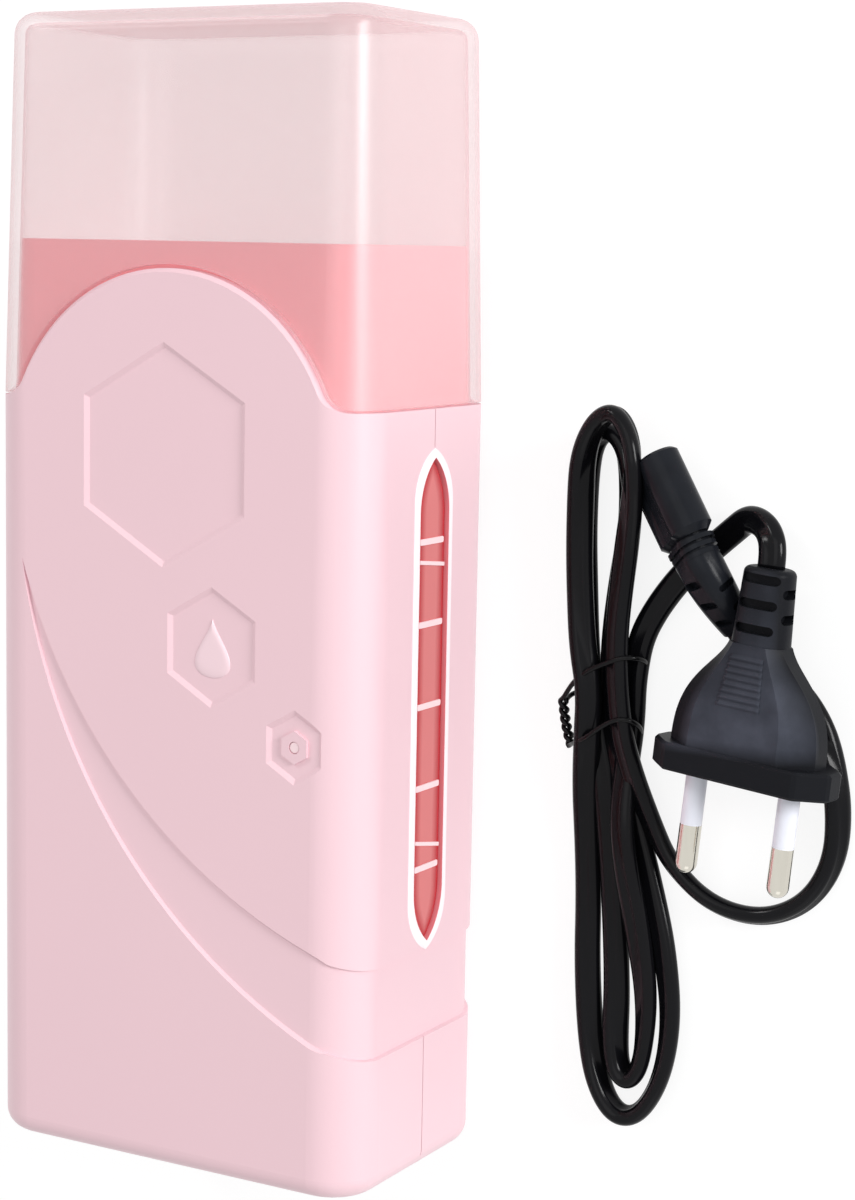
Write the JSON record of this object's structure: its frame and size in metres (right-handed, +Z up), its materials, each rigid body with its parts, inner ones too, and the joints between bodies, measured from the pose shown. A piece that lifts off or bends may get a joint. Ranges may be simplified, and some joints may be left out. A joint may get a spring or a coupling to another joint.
{
  "type": "roll on wax heater",
  "caption": "Hand-held heater for roll-on wax cartridges, lying on its back: pull-off translucent lid over a deep well, level windows, foot inlet, and a loose tied mains lead.",
  "frame": {"origin": "centre of the ground that the heater covers as it lies on its back; the loose lead beside it isn't counted", "axes": "+X across to the heater's right as one faces its front, +Y from its foot to the top of its lid, +Z up out of its front face"},
  "size_m": [0.155, 0.21, 0.0492],
  "materials": {
    "shell_pink": "moulded, satin gloss",
    "lid_clear": "translucent moulding, polished",
    "liner_rose": "moulded, fine texture",
    "window_red": "translucent, polished",
    "mark_white": "raised marks, printed",
    "spreader_aluminium": "pressed sheet",
    "heater_case": "drawn case",
    "insulation_film": "film",
    "clip_steel": "spring strip",
    "screw_steel": "zinc plated",
    "fuse_body": "ceramic white",
    "wire_brown": "extruded sleeve",
    "wire_blue": "extruded sleeve",
    "wire_white": "extruded sleeve",
    "board_green": "solder resist",
    "led_red": "epoxy",
    "lens_clear": "polished",
    "inlet_black": "moulded",
    "pin_metal": "nickel plated, polished",
    "contact_brass": "bare",
    "plug_black": "moulded, satin",
    "cord_black": "extruded, satin",
    "sleeve_white": "moulded",
    "tie_black": "coated wire"
  },
  "bodies": {
    "heater": {"front_shell": "shell_pink", "back_shell": "shell_pink", "shell_screws": "screw_steel", "liner": "liner_rose", "window_right": "window_red", "window_left": "window_red", "marks_right": "mark_white", "marks_left": "mark_white", "heat_spreader": "spreader_aluminium", "heater_lower": "heater_case", "heater_upper": "heater_case", "insulation": "insulation_film", "heater_clips": "clip_steel", "thermal_fuse": "fuse_body", "live_wire": "wire_brown", "neutral_wire": "wire_blue", "heater_link": "wire_brown", "indicator_wires": "wire_white", "led_board": "board_green", "indicator_led": "led_red", "indicator_lens": "lens_clear", "inlet_socket": "inlet_black", "inlet_pins": "pin_metal"},
    "lid": {"lid": "lid_clear"},
    "mains_lead": {"connector_body": "plug_black", "connector_contacts": "contact_brass", "cord_from_connector": "cord_black", "cord_hank": "cord_black", "cord_to_plug": "cord_black", "plug_body": "plug_black", "plug_pins": "pin_metal", "pin_sleeves": "sleeve_white", "twist_tie": "tie_black"}
  },
  "joints": [
    {"name": "lid_slide", "type": "slide", "parent": "heater", "child": "lid", "axis": [0, 1, 0], "range_m": [0, 0.075]},
    {"name": "lead_lift", "type": "slide", "parent": "heater", "child": "mains_lead", "axis": [0, 0, 1], "range_m": [0, 0.1]}
  ]
}
